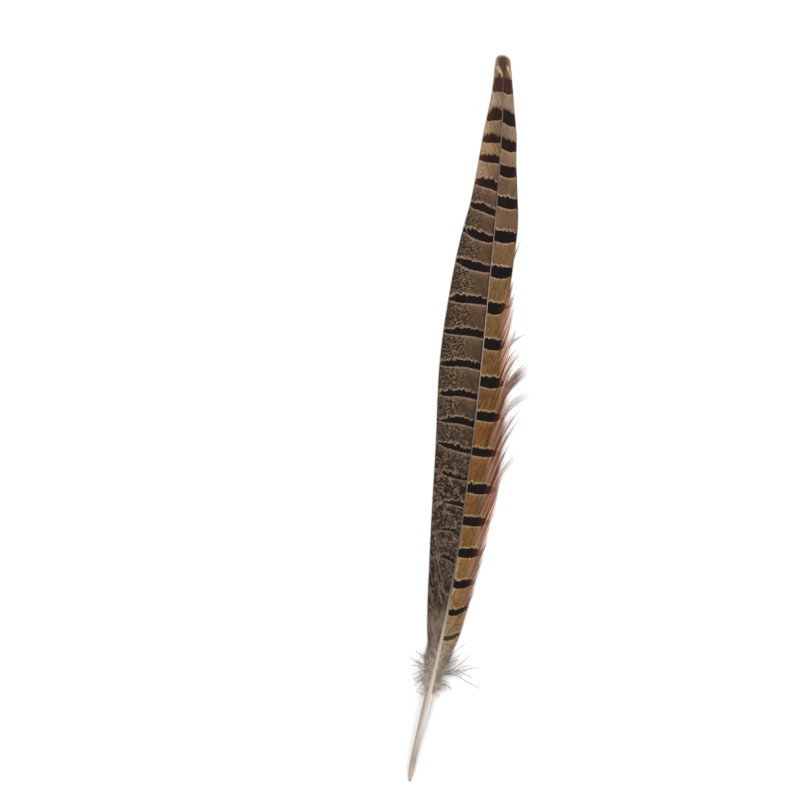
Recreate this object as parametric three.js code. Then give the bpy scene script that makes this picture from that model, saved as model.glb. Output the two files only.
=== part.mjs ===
// A side tail feather of a pheasant, lying on its underside: the quill's end towards -Y, the tip
// towards +Y. The barbs of each vane are one solid here. Millimetres, +Z up.
import * as THREE from 'three';

// Driving dimensions. Stations run along Y from the quill's end.
const LENGTH = 280; // quill's end to the vane's tip
const RACHIS_END = 278.6; // the shaft stops just inside the tip
const DOWN_FROM = 34; // bare quill ends
const VANE_FROM = 54.3; // down ends
const GAP = 0.3; // between the shaft and what grows from it, and between down and vane
const VANE_THICKNESS = 0.6;
const EDGE_THICKNESS = 0.4;
const RIDGE_ABOVE_VANE = 0.3; // how far the shaft's back stands over the vane
const FLAT_FROM = 0.85; // the outer share of each vane lies flat on the surface
const LEAST_BLADE = 0.4; // narrowest that a vane gets, at its very tip

// How finely the curves are cut into flat facets.
const SHAFT_SIDES = 12;
const SHAFT_STEP = 6.5;
const BLADE_STEP = 4;
const BLADE_SHARES = [0, 0.22, 0.44, 0.65, FLAT_FROM, 1];

// Sideways sweep of the shaft's middle line: [station, x].
const SHAFT_SWEEP = [
  [0, 0], [11, 0.6], [25, 2.2], [43, 4.1], [70, 6.3], [100, 7.3], [145, 7.3],
  [192, 6.1], [225, 5.0], [258, 2.9], [280, 0.3],
];
// Height of the shaft's back over the surface.
const BACK_HEIGHT = [
  [0, 1.2], [12, 2.3], [30, 3.5], [50, 3.9], [120, 4.5], [160, 4.3], [240, 2.4], [280, 0.9],
];
// Quill's end blunt, calamus round, then a rachis that is taller than it is wide.
const SHAFT_WIDTH = [
  [0, 1.2], [3, 1.7], [14, 2.1], [28, 2.85], [36, 2.8], [45, 1.8], [60, 1.25],
  [80, 0.95], [150, 0.65], [220, 0.45], [280, 0.25],
];
const SHAFT_HEIGHT = [
  [0, 1.2], [3, 1.7], [14, 2.1], [28, 2.8], [45, 2.4], [75, 1.8], [150, 1.3], [220, 0.85],
  [280, 0.4],
];
// Reach of each vane from the shaft's middle line: [station, reach].
const INNER_REACH = [
  [54.3, 5.2], [62, 7.0], [80, 9.6], [103, 11.9], [130, 13.9], [160, 15.9], [186, 14.9],
  [208, 12.7], [224, 9.9], [250, 6.9], [265, 4.4], [274, 3.3], [278, 2.7], [280, 0.9],
];
const OUTER_REACH = [
  [54.3, 6.8], [66, 7.6], [84, 9.4], [91, 13.6], [98, 11.4], [110, 13.2], [122, 14.0],
  [129, 19.4], [136, 16.6], [144, 18.8], [152.5, 22.1], [158, 18.4], [162, 17.4], [168, 14.6],
  [175, 16.8], [182, 10.4], [192, 8.4], [218, 8.8], [240, 6.3], [262, 4.4], [274, 3.4],
  [278, 2.6], [280, 0.9],
];
// The down stands out sideways in two tufts.
const INNER_DOWN_REACH = [[34, 2.2], [40, 7.5], [46, 10.5], [54, 6.0]];
const OUTER_DOWN_REACH = [[34, 2.6], [38, 15.5], [42, 18.4], [46, 17.2], [54, 7.4]];

// Value at a station of a smooth curve through the points. Past its ends the curve is flat.
function curveAt(points, station) {
  const last = points.length - 1;
  const next = points.findIndex((point) => point[0] > station);
  const i = next < 0 ? last - 1 : Math.max(next - 1, 0);
  const [x0, y0] = points[i];
  const [x1, y1] = points[i + 1];
  const before = points[Math.max(i - 1, 0)];
  const after = points[Math.min(i + 2, last)];
  const span = x1 - x0;
  const rise0 = (span * (y1 - before[1])) / (x1 - before[0]);
  const rise1 = (span * (after[1] - y0)) / (after[0] - x0);
  const t = (THREE.MathUtils.clamp(station, points[0][0], points[last][0]) - x0) / span;
  const t2 = t * t;
  const t3 = t2 * t;
  const ends = (2 * t3 - 3 * t2 + 1) * y0 + (3 * t2 - 2 * t3) * y1;
  return ends + (t3 - 2 * t2 + t) * rise0 + (t3 - t2) * rise1;
}

function stationsBetween(from, to, step) {
  const count = Math.round((to - from) / step);
  return Array.from({ length: count + 1 }, (_, i) => from + ((to - from) * i) / count);
}

// A closed solid through rings of equal size. A thin bent ring, which is its top row and then its
// bottom row backwards, is closed at each end by a strip. A round one is closed by a fan.
function loft(rings, isBentStrip) {
  const size = rings[0].length;
  const positions = rings.flat().flatMap((p) => [p.x, p.y, p.z]);
  const faces = [];
  for (let r = 0; r < rings.length - 1; r += 1) {
    for (let k = 0; k < size; k += 1) {
      const a = r * size + k;
      const b = r * size + ((k + 1) % size);
      faces.push(a, a + size, b + size, a, b + size, b);
    }
  }
  const lastRing = (rings.length - 1) * size;
  if (isBentStrip) {
    for (let k = 0; k < size / 2 - 1; k += 1) {
      const under = size - 1 - k;
      faces.push(k, k + 1, under - 1, k, under - 1, under);
      faces.push(lastRing + k, lastRing + under - 1, lastRing + k + 1);
      faces.push(lastRing + k, lastRing + under, lastRing + under - 1);
    }
  } else {
    for (let k = 1; k < size - 1; k += 1) {
      faces.push(0, k, k + 1);
      faces.push(lastRing, lastRing + k + 1, lastRing + k);
    }
  }
  const geometry = new THREE.BufferGeometry();
  geometry.setAttribute('position', new THREE.Float32BufferAttribute(positions, 3));
  geometry.setIndex(faces);
  geometry.computeVertexNormals();
  return geometry;
}

// Calamus and rachis: oval sections with a flat below, so the quill's end rests on a facet.
function shaftGeometry() {
  const rings = stationsBetween(0, RACHIS_END, SHAFT_STEP).map((station) => {
    const halfWidth = curveAt(SHAFT_WIDTH, station) / 2;
    const halfHeight = curveAt(SHAFT_HEIGHT, station) / 2;
    const middleX = curveAt(SHAFT_SWEEP, station);
    const middleZ = Math.max(curveAt(BACK_HEIGHT, station) - halfHeight, halfHeight);
    const outwards = 1 / Math.cos(Math.PI / SHAFT_SIDES);
    return Array.from({ length: SHAFT_SIDES }, (_, k) => {
      const angle = ((k + 0.5) * 2 * Math.PI) / SHAFT_SIDES;
      const x = middleX + halfWidth * outwards * Math.cos(angle);
      const z = middleZ + halfHeight * outwards * Math.sin(angle);
      return new THREE.Vector3(x, station, z);
    });
  });
  return loft(rings, false);
}

// A vane or a tuft of down on one side of the shaft: side is -1 for the inner, +1 for the outer.
// It leaves the shaft just under its back and curves down until its outer share lies flat.
function bladeGeometry(side, reach, from, to) {
  const rings = stationsBetween(from, to, BLADE_STEP).map((station) => {
    const near = curveAt(SHAFT_WIDTH, station) / 2 + GAP;
    const far = Math.max(curveAt(reach, station), near + LEAST_BLADE);
    const middleX = curveAt(SHAFT_SWEEP, station);
    const rootHeight = curveAt(BACK_HEIGHT, station) - RIDGE_ABOVE_VANE - VANE_THICKNESS;
    const top = [];
    const bottom = [];
    BLADE_SHARES.forEach((share) => {
      const x = middleX + side * (near + (far - near) * share);
      const fallen = Math.min(share / FLAT_FROM, 1);
      const slope = fallen < 1 ? 0.5 + 0.5 * Math.cos(Math.PI * fallen) : 0;
      const underside = Math.max(rootHeight, 0) * slope;
      const thickness = THREE.MathUtils.lerp(VANE_THICKNESS, EDGE_THICKNESS, share);
      top.push(new THREE.Vector3(x, station, underside + thickness));
      bottom.push(new THREE.Vector3(x, station, underside));
    });
    const ring = [...top, ...bottom.reverse()];
    return side > 0 ? ring.reverse() : ring;
  });
  return loft(rings, true);
}

function keratin(color, roughness) {
  return new THREE.MeshStandardMaterial({ color, roughness, metalness: 0 });
}

function addPiece(group, name, geometry, material) {
  const mesh = new THREE.Mesh(geometry, material);
  mesh.name = name;
  group.add(mesh);
}

const feather = new THREE.Group();
const downTo = VANE_FROM - GAP;
const innerVane = bladeGeometry(-1, INNER_REACH, VANE_FROM, LENGTH);
const outerVane = bladeGeometry(1, OUTER_REACH, VANE_FROM, LENGTH);
const innerDown = bladeGeometry(-1, INNER_DOWN_REACH, DOWN_FROM, downTo);
const outerDown = bladeGeometry(1, OUTER_DOWN_REACH, DOWN_FROM, downTo);
addPiece(feather, 'shaft', shaftGeometry(), keratin('#d0c2b6', 0.4));
addPiece(feather, 'inner_vane', innerVane, keratin('#75604c', 0.7));
addPiece(feather, 'outer_vane', outerVane, keratin('#966a3c', 0.65));
addPiece(feather, 'inner_down', innerDown, keratin('#968e84', 0.9));
addPiece(feather, 'outer_down', outerDown, keratin('#968e84', 0.9));

// The origin is the middle of the feather's box, on the surface that it lies on.
const box = new THREE.Box3().setFromObject(feather);
const middle = box.getCenter(new THREE.Vector3());
feather.position.set(-middle.x, -middle.y, -box.min.z);

export default feather;
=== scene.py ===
# A pheasant's side tail feather, lying on its underside on a pale floor.
import math

import bpy
import numpy as np
from mathutils import Matrix, Vector


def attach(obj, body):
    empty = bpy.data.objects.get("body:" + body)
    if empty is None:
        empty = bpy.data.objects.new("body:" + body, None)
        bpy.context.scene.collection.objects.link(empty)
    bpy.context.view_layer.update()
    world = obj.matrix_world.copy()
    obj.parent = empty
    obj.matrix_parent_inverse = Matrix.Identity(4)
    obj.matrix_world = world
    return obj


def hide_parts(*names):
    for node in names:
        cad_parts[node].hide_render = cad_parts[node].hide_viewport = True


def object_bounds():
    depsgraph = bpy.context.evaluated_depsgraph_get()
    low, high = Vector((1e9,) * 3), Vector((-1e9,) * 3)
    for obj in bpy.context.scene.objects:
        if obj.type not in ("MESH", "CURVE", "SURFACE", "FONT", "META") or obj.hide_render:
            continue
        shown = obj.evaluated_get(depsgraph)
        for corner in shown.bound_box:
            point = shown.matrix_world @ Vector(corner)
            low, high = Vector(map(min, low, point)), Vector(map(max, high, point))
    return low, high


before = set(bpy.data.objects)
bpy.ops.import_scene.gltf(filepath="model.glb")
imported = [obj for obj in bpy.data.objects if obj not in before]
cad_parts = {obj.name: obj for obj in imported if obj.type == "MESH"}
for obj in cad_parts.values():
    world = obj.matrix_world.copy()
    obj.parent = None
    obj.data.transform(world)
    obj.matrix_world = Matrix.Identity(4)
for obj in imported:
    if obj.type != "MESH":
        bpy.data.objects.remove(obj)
cadLow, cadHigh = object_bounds()
mm = 0.001
quillEndY = cadLow.y / mm  # stations are counted in mm from here towards the tip
rng = np.random.default_rng(2717)


def linear(hexColour):
    channels = [int(hexColour[i:i + 2], 16) / 255 for i in (1, 3, 5)]
    curved = [c / 12.92 if c <= 0.04045 else ((c + 0.055) / 1.055) ** 2.4 for c in channels]
    return (*curved, 1.0)


def addNode(material, kind, inputs=None, stops=None, **settings):
    # Inputs are keyed by socket name or number, and hold a value, a socket or a node. A Map Range's
    # numbers are 0 for its value, 1 and 2 for the range it comes from and 3 and 4 for the one it goes
    # to. A Mix's are 0 for its factor, 2 and 3 for two numbers, 6 and 7 for two colours.
    node = material.node_tree.nodes.new("ShaderNode" + kind)
    for name, value in settings.items():
        setattr(node, name, value)
    for place, (position, hexColour) in enumerate(stops or []):
        elements = node.color_ramp.elements
        element = elements[place] if place < 2 else elements.new(position)
        element.position = position
        element.color = linear(hexColour)
    for name, value in (inputs or {}).items():
        if isinstance(value, bpy.types.Node):
            value = next(socket for socket in value.outputs if socket.enabled)
        if isinstance(value, bpy.types.NodeSocket):
            material.node_tree.links.new(value, node.inputs[name])
        else:
            node.inputs[name].default_value = value
    return node


def newMaterial(name):
    material = bpy.data.materials.new(name)
    material.use_nodes = True
    material.node_tree.nodes.clear()
    return material


def newObject(name, data):
    created = bpy.data.objects.new(name, data)
    bpy.context.scene.collection.objects.link(created)
    return created


def smoothCurve(*points):
    # a smooth curve through (station, value) points, flat past its ends
    stations, values = np.array(points, float).T
    slopes = np.gradient(values, stations)

    def at(station):
        s = np.clip(station, stations[0], stations[-1])
        i = np.clip(np.searchsorted(stations, s, side="right") - 1, 0, len(stations) - 2)
        span = stations[i + 1] - stations[i]
        t = (s - stations[i]) / span
        ends = (2 * t**3 - 3 * t**2 + 1) * values[i] + (3 * t**2 - 2 * t**3) * values[i + 1]
        return ends + span * ((t**3 - 2 * t**2 + t) * slopes[i] + (t**3 - t**2) * slopes[i + 1])

    return at


def ringRows(nodeName):
    # station, lowest x, highest x, lowest z, highest z of each ring of a CAD piece, in mm
    points = np.array([vertex.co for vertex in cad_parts[nodeName].data.vertices]) / mm
    points[:, 1] -= quillEndY
    rows = []
    for station in np.unique(points[:, 1].round(1)):
        ring = points[abs(points[:, 1] - station) < 0.2]
        rows.append([station, ring[:, 0].min(), ring[:, 0].max(), ring[:, 2].min(), ring[:, 2].max()])
    return np.array(rows)


shaftRows = ringRows("shaft")
innerRows = ringRows("inner_vane")
shaftMiddle = smoothCurve(*zip(shaftRows[:, 0], (shaftRows[:, 1] + shaftRows[:, 2]) / 2))
shaftHalfWidth = smoothCurve(*zip(shaftRows[:, 0], (shaftRows[:, 2] - shaftRows[:, 1]) / 2))
shaftLow = smoothCurve(*zip(shaftRows[:, 0], shaftRows[:, 3]))
shaftTop = smoothCurve(*zip(shaftRows[:, 0], shaftRows[:, 4]))
innerReach = smoothCurve(*zip(innerRows[:, 0], shaftMiddle(innerRows[:, 0]) - innerRows[:, 1]))
featherLength = innerRows[-1, 0]
leastHeight = 0.02  # mm over the floor, no strand lies lower than this

# camera, floor and light
view = {
    "frameWidth": 800,             # pixels, and the frame is square
    "quillPixel": (409.3, 780.7),  # where the quill's end is seen
    "tipPixel": (503.4, 54.5),     # where the tip is seen
    "lens": 85,                    # mm
    "clipEnd": 20,                 # m
    "floorSize": 14.0,             # m
    "floorDrop": 0.0002,           # m, the floor lies this far under the feather
    "floorColour": "#ECECEB",
    "keyAt": (-0.55, 0.45, 1.1),   # m
    "keySize": 0.9,
    "keyPower": 10,                # W
    "fillAt": (0.7, -0.5, 0.9),
    "fillSize": 1.0,
    "fillPower": 4,
    "worldStrength": 0.72,
}


def makeCamera():
    quillSeen = Vector((view["quillPixel"][0], -view["quillPixel"][1]))
    tipSeen = Vector((view["tipPixel"][0], -view["tipPixel"][1]))
    quill = Vector((shaftMiddle(0), quillEndY)) * mm
    tip = Vector((shaftMiddle(featherLength), quillEndY + featherLength)) * mm
    seen = tipSeen - quillSeen
    real = tip - quill
    scale = real.length / seen.length
    turn = math.atan2(real.y, real.x) - math.atan2(seen.y, seen.x)
    half = view["frameWidth"] / 2
    middle = Vector((half, -half)) - quillSeen
    middle.rotate(Matrix.Rotation(turn, 2))
    aim = quill + middle * scale
    camera = bpy.data.cameras.new("camera")
    camera.lens = view["lens"]
    camera.clip_end = view["clipEnd"]
    cameraObject = newObject("camera", camera)
    height = scale * view["frameWidth"] * camera.lens / camera.sensor_width
    cameraObject.location = (aim.x, aim.y, height)
    cameraObject.rotation_euler = (0, 0, turn)
    bpy.context.scene.camera = cameraObject


def addAreaLight(name, location, size, power):
    # a round soft light that shines at the feather's middle
    light = bpy.data.lights.new(name, "AREA")
    light.shape = "DISK"
    light.size = size
    light.energy = power
    lightObject = newObject(name, light)
    lightObject.location = location
    lightObject.rotation_euler = (-Vector(location)).to_track_quat("-Z", "Y").to_euler()


def makeStudio():
    half = view["floorSize"] / 2
    mesh = bpy.data.meshes.new("floor")
    corners = [(-half, -half, 0), (half, -half, 0), (half, half, 0), (-half, half, 0)]
    mesh.from_pydata(corners, [], [(0, 1, 2, 3)])
    floor = newObject("floor", mesh)
    floor.location.z = -view["floorDrop"]
    card = newMaterial("matt white card")  # matt and very even, so the shadows stay faint
    look = {"Base Color": linear(view["floorColour"]), "Roughness": 0.9, "Specular IOR Level": 0.2}
    addNode(card, "OutputMaterial", {"Surface": addNode(card, "BsdfPrincipled", look)})
    mesh.materials.append(card)

    addAreaLight("key", view["keyAt"], view["keySize"], view["keyPower"])
    addAreaLight("fill", view["fillAt"], view["fillSize"], view["fillPower"])
    world = bpy.data.worlds.new("soft white room")
    bpy.context.scene.world = world
    world.use_nodes = True
    background = world.node_tree.nodes["Background"]
    background.inputs["Color"].default_value = (1, 1, 1, 1)
    background.inputs["Strength"].default_value = view["worldStrength"]
    bpy.context.scene.view_settings.view_transform = "Standard"


makeCamera()
makeStudio()
print("camera, floor and lights made")


# barbs, loose barb ends and down are all thin three-sided strands, joined into one mesh a piece

def strandMesh(name, strands, columns):
    # A strand has a centre line, the way its width lies, a width, a ridge height and a tilt for each
    # point, and values for its material. Each ring is its one edge, its ridge and its other edge.
    # In the map for baking a strand has a cell of its own, underside beside upper side.
    rowsInMap = math.ceil(len(strands) / columns)
    cell = np.array([1 / columns, 1 / rowsInMap])
    sides = ((0.0, 0.45, 0.0), (0.45, 0.9, 0.0), (0.9, 0.0, 0.5))  # low, high, shift in the cell
    capCorners = [[0.0, 0.0, 0.01, 0.9, 0.01, 0.45], [0.47, 0.0, 0.48, 0.45, 0.48, 0.9]]  # the ends
    points, faces, corners = [], [], []
    kept = {key: [] for key in strands[0]["values"]}
    start = 0
    for number, strand in enumerate(strands):
        centre, across = strand["centre"], strand["across"]
        count = len(centre)
        up = np.tile([0.0, 0.0, 1.0], (count, 1))
        width, height, tilt = (np.broadcast_to(strand[key], count)[:, None]
                               for key in ("width", "height", "tilt"))
        edge = across * width / 2 + up * tilt
        rings = np.stack([centre + edge, centre + up * height, centre - edge], axis=1)
        points.append(rings.reshape(-1, 3))
        for key, value in strand["values"].items():
            kept[key].append(np.repeat(value, 3, axis=0))

        run = 0.02 + 0.44 * np.linspace(0, 1, count)  # along the cell, clear of its ends
        i = np.arange(count - 1)
        strandFaces, strandCorners = [], []
        for k, (low, high, shift) in enumerate(sides):
            one, other = start + 3 * i + k, start + 3 * i + (k + 1) % 3
            left, right = run[:-1] + shift, run[1:] + shift
            lows, highs = np.full(count - 1, low), np.full(count - 1, high)
            strandFaces.append(np.stack([one, other, other + 3], axis=1))
            strandCorners.append(np.stack([left, lows, left, highs, right, highs], axis=1))
            strandFaces.append(np.stack([one, other + 3, one + 3], axis=1))
            strandCorners.append(np.stack([left, lows, right, highs, right, lows], axis=1))
        last = start + 3 * (count - 1)
        strandFaces.append(np.array([[start, start + 2, start + 1], [last, last + 1, last + 2]]))
        strandCorners.append(np.array(capCorners))
        strandFaces = np.concatenate(strandFaces)
        corner = cell * (number % columns, number // columns)
        strandCorners = np.concatenate(strandCorners).reshape(-1, 3, 2) * cell + corner
        # every face looks outwards, whichever way the strand runs
        handed = np.dot(np.cross(across[0], up[0]), centre[1] - centre[0])
        if handed < 0:
            strandFaces = strandFaces[:, ::-1]
            strandCorners = strandCorners[:, ::-1]
        faces.append(strandFaces)
        corners.append(strandCorners.reshape(-1, 2))
        start += 3 * count

    points, faces, corners = np.concatenate(points), np.concatenate(faces), np.concatenate(corners)
    points[:, 2] = np.maximum(points[:, 2], leastHeight)

    mesh = bpy.data.meshes.new(name)
    mesh.vertices.add(len(points))
    mesh.vertices.foreach_set("co", (points * mm).ravel())
    mesh.loops.add(faces.size)
    mesh.loops.foreach_set("vertex_index", np.ascontiguousarray(faces, np.int32).ravel())
    mesh.polygons.add(len(faces))
    mesh.polygons.foreach_set("loop_start", np.arange(len(faces), dtype=np.int32) * 3)
    mesh.uv_layers.new(name="OFBake")
    mesh.uv_layers["OFBake"].data.foreach_set("uv", corners.astype(np.float32).ravel())
    for key, values in kept.items():
        # the material reads these through its Attribute nodes
        layer = mesh.attributes.new(key, "FLOAT_VECTOR", "POINT")
        layer.data.foreach_set("vector", np.concatenate(values).astype(np.float32).ravel())
    mesh.update(calc_edges=True)
    piece = newObject(name, mesh)
    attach(piece, "root")
    print(f"{name}: {len(strands)} strands, {len(faces)} triangles")
    return piece


def widthWays(centre):
    # level directions square to the line, pointing towards the feather's tip
    along = np.gradient(centre, axis=0)
    flat = np.stack([-along[:, 1], along[:, 0], np.zeros(len(along))], axis=1)
    flat /= np.maximum(np.linalg.norm(flat, axis=1, keepdims=True), 1e-9)
    return flat if flat[:, 1].sum() > 0 else -flat


def evenly(line, step):
    # the same line with points an even step apart, and how far along it each is
    lengths = np.concatenate([[0], np.cumsum(np.linalg.norm(np.diff(line, axis=0), axis=1))])
    count = max(5, int(round(lengths[-1] / step)) + 1)
    run = np.linspace(0, lengths[-1], count)
    return np.stack([np.interp(run, lengths, line[:, k]) for k in range(line.shape[1])], axis=1), run


def bend(start, turn, end, count):
    # points on a curve that sets out from start towards turn, and ends at end
    t = np.linspace(0, 1, count)[:, None]
    return start * (1 - t) ** 2 + turn * 2 * t * (1 - t) + end * t**2


def drift(count, reach):
    # random numbers that change slowly from one strand to the next
    rough = rng.normal(0, 1, count + 6 * reach)
    bell = np.exp(-np.linspace(-2, 2, 4 * reach + 1) ** 2)
    return np.convolve(rough, bell / np.sqrt((bell ** 2).sum()), "same")[3 * reach:3 * reach + count]


# the vanes' shape
vane = {
    "rootFrom": 40.5,        # first barb, mm from the quill's end
    "rootTo": 278.5,         # last barb
    "rootStep": 0.75,        # between barbs, along the shaft
    "rootIn": 0.3,           # a barb starts inside the shaft, at this share of its half width
    "rootTurn": 1.9,         # a barb leaves the shaft at this times its angle further out
    "bendOver": 1.3,         # mm over which it turns from one to the other
    "longest": 26,           # mm, no barb reaches out as far as this
    "planStep": 0.05,        # mm outwards between the points of a barb's plan
    "innerWander": 0.45,     # degrees, how far the barbs' angles wander along the vane
    "outerWander": 0.3,
    "wanderBarbs": 12,       # barbs over which they change
    "leastAngle": 2,         # degrees between barb and shaft
    "splitAt": 190,          # small split between two barbs of the inner vane
    "splitOpens": 0.5,       # degrees
    "splitOver": 4,          # mm along the shaft over which the barbs beside it turn away
    "pointStep": 1.0,        # mm between a barb's points
    "overlap": 1.35,         # barb width over barb spacing
    "ridge": 0.08,           # mm, height of a barb's own ridge
    "shingle": 0.045,        # mm, each barb's tipward edge stands up by this
    "uneven": 0.012,         # mm, how far barbs differ in height
    "looseOver": 1.2,        # mm over which a barb comes loose past the vane's edge
    "flatFrom": 0.85,        # a vane lies flat from this share of its width outwards
    "halfThickness": 0.3,    # mm, from the vane's underside up to the middle of its barbs
    "marginShare": 0.80,     # the bar that a barb crosses here gives it its red end
    "capFrom": 276.4,        # the vane's end is a round cap from here
    "capReach": 3.0,         # mm from the shaft's middle line where the cap starts
    "capSquare": 2.8,        # 2 is an ellipse, more is squarer
}
# degrees between barb and shaft
innerAngle = smoothCurve(
    (36, 32), (46, 26), (60, 23), (100, 25), (200, 24), (245, 19), (270, 12), (279, 4))
outerAngle = smoothCurve(
    (36, 32), (46, 26), (60, 18), (80, 15), (180, 14.5), (240, 13), (270, 9), (279, 4))
# mm from the shaft's back down to the vane's upper face, where they meet
rootBelowBack = smoothCurve((36, 0.5), (55, 0.3), (70, 0.0), (90, -0.14), (160, -0.18), (280, -0.2))
# mm from the shaft's middle line to the outer vane's edge
outerReach = smoothCurve(
    (34, 2.0), (40, 4.2), (51, 5.6), (57, 6.8), (66, 7.6), (84, 9.15), (95, 10.0), (106, 10.8),
    (117, 11.5), (131, 10.7), (146, 10.1), (156, 9.4), (165, 8.7), (177, 7.8), (187, 8.1),
    (202, 8.6), (218, 8.8), (230, 7.5), (242, 6.3), (249, 6.0), (261, 4.5), (273, 3.4), (277, 3.0))

# Dark bars: station and thickness at the shaft, how far its middle arches towards the tip, and how
# much nearer the tip its outer end is, all in mm.
innerBars = [
    (85.0, 1.6, 1.6, 0.6), (95.4, 1.6, 2.4, -0.3), (107.0, 1.8, 1.1, -0.7), (117.4, 1.7, -0.2, 1.4),
    (127.8, 2.0, -0.1, 1.8), (138.0, 2.3, 0.8, 0.3), (148.6, 2.4, 0.8, -0.2), (160.0, 2.5, 0.8, -0.1),
    (172.5, 3.0, 0.4, 0.0), (185.2, 2.9, 0.1, -0.2), (197.8, 3.3, -0.4, 1.8), (209.2, 3.3, -0.4, 2.4),
    (219.0, 2.8, 0.4, 2.5), (229.0, 3.8, 0.5, 1.7), (239.8, 3.9, 0.0, 0.3), (247.2, 2.9, 0.1, -0.5),
    (256.4, 4.0, 0.4, -1.0), (268.1, 5.6, 0.0, 0.0),
]
outerBars = [
    (56.6, 1.9, -0.9, 1.2), (66.5, 2.3, -0.9, 1.4), (77.1, 2.9, -0.4, 1.1), (89.2, 3.5, 0.0, 0.6),
    (101.5, 3.5, 0.0, 0.3), (114.0, 3.6, 0.0, 0.3), (128.1, 3.2, 0.0, 0.3), (141.8, 3.6, 0.0, 0.3),
    (154.7, 4.0, 0.0, 0.4), (169.3, 4.2, 0.2, 0.3), (183.0, 4.4, -0.4, 1.2), (197.0, 4.6, 0.0, 0.4),
    (210.7, 4.5, 0.0, 0.4), (224.0, 4.3, 0.0, -0.3), (235.9, 4.7, 0.0, 0.0), (245.9, 4.4, 0.0, -0.8),
    (256.1, 4.7, 0.2, -1.1), (268.1, 5.6, 0.0, 0.0),
]


def barPlace(bars, along, share, side):
    # how many bars up the vane a point is, how far the bar there stands above and below its middle
    # line, and how far apart the bars are
    barShare = 0.85  # the bars' arches and rises are given for this share of the vane's width
    beyond = 0.45    # bars past the first and the last one at which the count stops
    stations, thicknesses, arches, rises = np.array(bars).T
    arch = np.interp(along, stations, arches) * np.sin(math.pi * np.clip(share / barShare, 0, 1))
    rise = np.interp(along, stations, rises) * np.clip(share / barShare, 0, 1.3) ** 1.3
    level = along - arch - rise
    gaps = np.diff(stations) * beyond
    counts = np.arange(len(bars))
    ends = [stations[0] - gaps[0], *stations, stations[-1] + gaps[-1]]
    phase = np.interp(level, ends, [-beyond, *counts, counts[-1] + beyond])
    half = np.interp(level, stations, thicknesses) / 2
    hump = np.sin(math.pi * np.clip(share / 0.9, 0, 1))
    # the bars are slimmer towards their outer ends
    if side < 0:
        endFrom = np.interp(along, (110, 125), (0.45, 0.72))
        ending = np.clip((share - endFrom) / 0.25, 0, 1)
        slim = np.interp(along, (110, 130, 150, 200), (1.0, 0.8, 0.45, 0.3)) * ending
        upper = half * (0.75 + 0.35 * hump) * (1 - slim)
        lower = half * (0.95 + 0.05 * hump) * (1 - slim)
    else:
        ending = np.clip((share - 0.72) / 0.25, 0, 1)
        slimAbove = np.interp(along, (72, 90, 172, 183, 200), (0.5, 0.4, 0.3, 0.8, 0.05))
        upper = half * (1 - slimAbove * ending)
        slim = np.interp(along, (165, 183, 200), (0.4, 0.7, 0.05)) * ending
        lower = half * (0.85 + 0.3 * hump) * (1 - slim)
    spacing = np.interp(level, stations[1:], np.diff(stations))
    return np.stack([phase, upper, lower], axis=1), spacing


def vaneUnderside(station, share):
    # mm over the floor: highest at the shaft, and down on the floor from a certain share outwards
    fallen = np.clip(share / vane["flatFrom"], 0, 1)
    rootHeight = np.maximum(shaftTop(station) - rootBelowBack(station) - 2 * vane["halfThickness"], 0)
    return rootHeight * (0.5 + 0.5 * np.cos(math.pi * fallen))


def vaneEdge(reach, station):
    # how far the vane reaches from the shaft's middle line
    past = np.clip((station - vane["capFrom"]) / (featherLength - vane["capFrom"]), 0, 1)
    cap = vane["capReach"] * (1 - past ** vane["capSquare"]) ** (1 / vane["capSquare"])
    return np.where(past > 0, cap, reach(station))


def barbRoots(usualAngle, wander):
    # the station where each barb leaves the shaft, and its angle there
    roots = np.arange(vane["rootFrom"], vane["rootTo"], vane["rootStep"])
    angles = usualAngle(roots) + drift(len(roots), vane["wanderBarbs"]) * wander
    return roots, np.maximum(angles, vane["leastAngle"])


def barbLine(root, reach, angleThere):
    # plan of a barb: station and distance from the shaft's middle line, out to the vane's edge
    out = np.linspace(0, vane["longest"], round(vane["longest"] / vane["planStep"]) + 1)
    angle = angleThere * (1 + (vane["rootTurn"] - 1) * np.exp(-out / vane["bendOver"]))
    steps = np.diff(out) / np.tan(np.radians((angle[1:] + angle[:-1]) / 2))
    station = root + np.concatenate([[0], np.cumsum(steps)])
    distance = out + shaftHalfWidth(root) * vane["rootIn"]
    past = np.nonzero((distance > vaneEdge(reach, station)) | (station > featherLength - 0.1))[0]
    end = max(past[0] if len(past) else len(out), 4)
    return np.stack([station[:end], distance[:end]], axis=1)


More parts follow.
